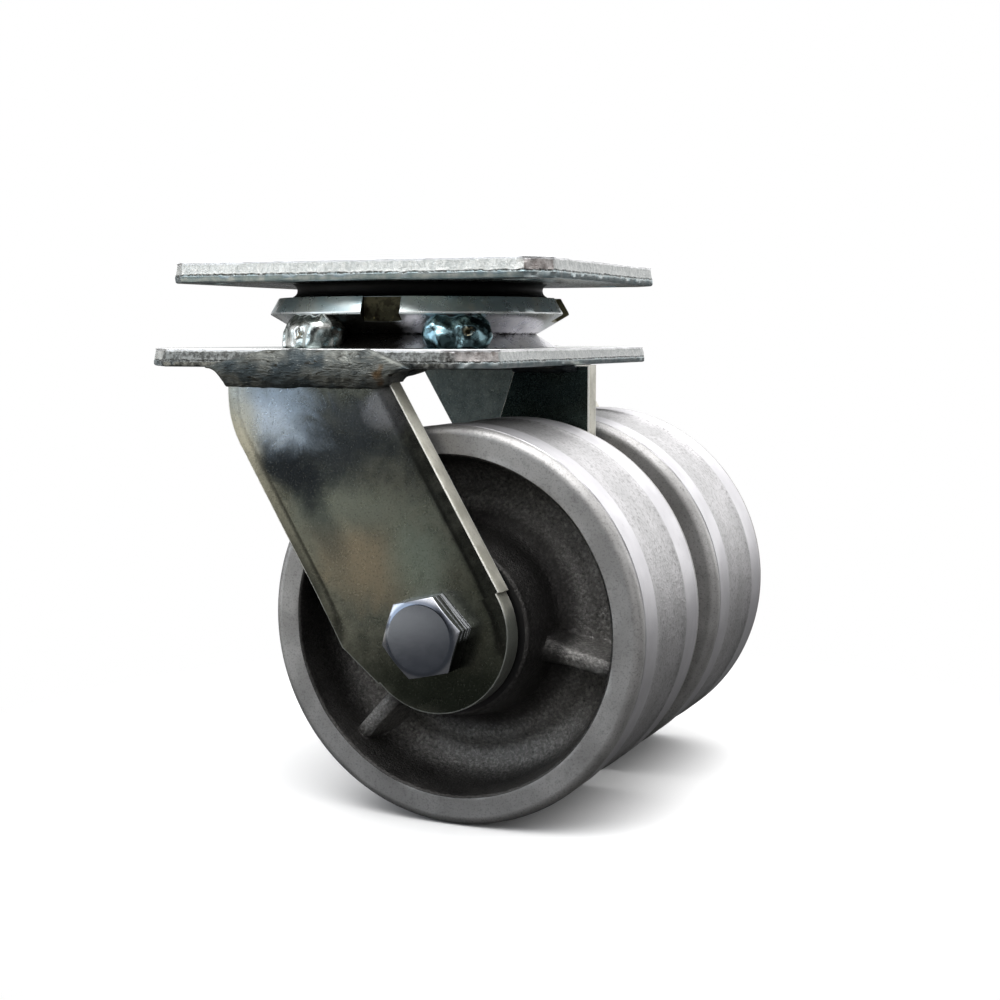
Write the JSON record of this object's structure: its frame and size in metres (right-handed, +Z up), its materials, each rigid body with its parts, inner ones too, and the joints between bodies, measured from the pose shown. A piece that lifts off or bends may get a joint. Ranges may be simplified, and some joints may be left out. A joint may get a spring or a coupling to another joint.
{
  "type": "swivel caster",
  "caption": "Twin-wheel swivel plate caster: welded three-legged fork under a bevelled ball race, cast iron wheels on roller bearings, through axle bolt.",
  "frame": {"origin": "on the swivel axis in the upper face of the top plate", "axes": "+Z up out of the mounting face, +X from the swivel axis towards the trailing axle, Y along the axle"},
  "size_m": [0.1437, 0.1556, 0.1436],
  "materials": {
    "zinc_sheet": "zinc plated mill steel, faint coloured tint",
    "zinc_turned": "turned and zinc plated, faint yellow tint",
    "weld_metal": "plated weld metal, glossy and lumpy",
    "bright_zinc": "bright zinc fastener",
    "black_steel": "black oxide, satin",
    "cast_iron": "as cast skin with machined lands and rim faces",
    "bearing_steel": "ground steel, oiled"
  },
  "bodies": {
    "mount": {"top_plate": "zinc_sheet", "swivel_hub": "black_steel", "swivel_balls": "bearing_steel"},
    "fork": {"race_ring": "zinc_turned", "race_seat": "zinc_turned", "base_plate": "zinc_sheet", "near_leg": "zinc_sheet", "far_leg": "zinc_sheet", "centre_leg": "zinc_sheet", "axle_bolt": "bright_zinc", "lock_nut": "bright_zinc", "race_weld_1": "weld_metal", "race_weld_2": "weld_metal", "race_weld_3": "weld_metal", "race_weld_4": "weld_metal", "near_leg_weld": "weld_metal", "near_centre_weld": "weld_metal", "near_bushing": "bearing_steel", "near_outer_washer": "bearing_steel", "near_inner_washer": "bearing_steel", "far_leg_weld": "weld_metal", "far_centre_weld": "weld_metal", "far_bushing": "bearing_steel", "far_outer_washer": "bearing_steel", "far_inner_washer": "bearing_steel"},
    "near_roll": {"near_rim": "cast_iron", "near_web": "cast_iron", "near_hub": "cast_iron", "near_cage": "bearing_steel", "near_rollers": "bearing_steel"},
    "far_roll": {"far_rim": "cast_iron", "far_web": "cast_iron", "far_hub": "cast_iron", "far_cage": "bearing_steel", "far_rollers": "bearing_steel"}
  },
  "joints": [
    {"name": "swivel", "type": "hinge", "parent": "mount", "child": "fork", "pos_m": [0, 0, 0], "axis": [0, 0, 1], "continuous": true},
    {"name": "near_wheel_spin", "type": "hinge", "parent": "fork", "child": "near_roll", "pos_m": [0.0358, -0.03246, -0.0928], "axis": [0, 1, 0], "continuous": true},
    {"name": "far_wheel_spin", "type": "hinge", "parent": "fork", "child": "far_roll", "pos_m": [0.0358, 0.03246, -0.0928], "axis": [0, 1, 0], "continuous": true}
  ]
}
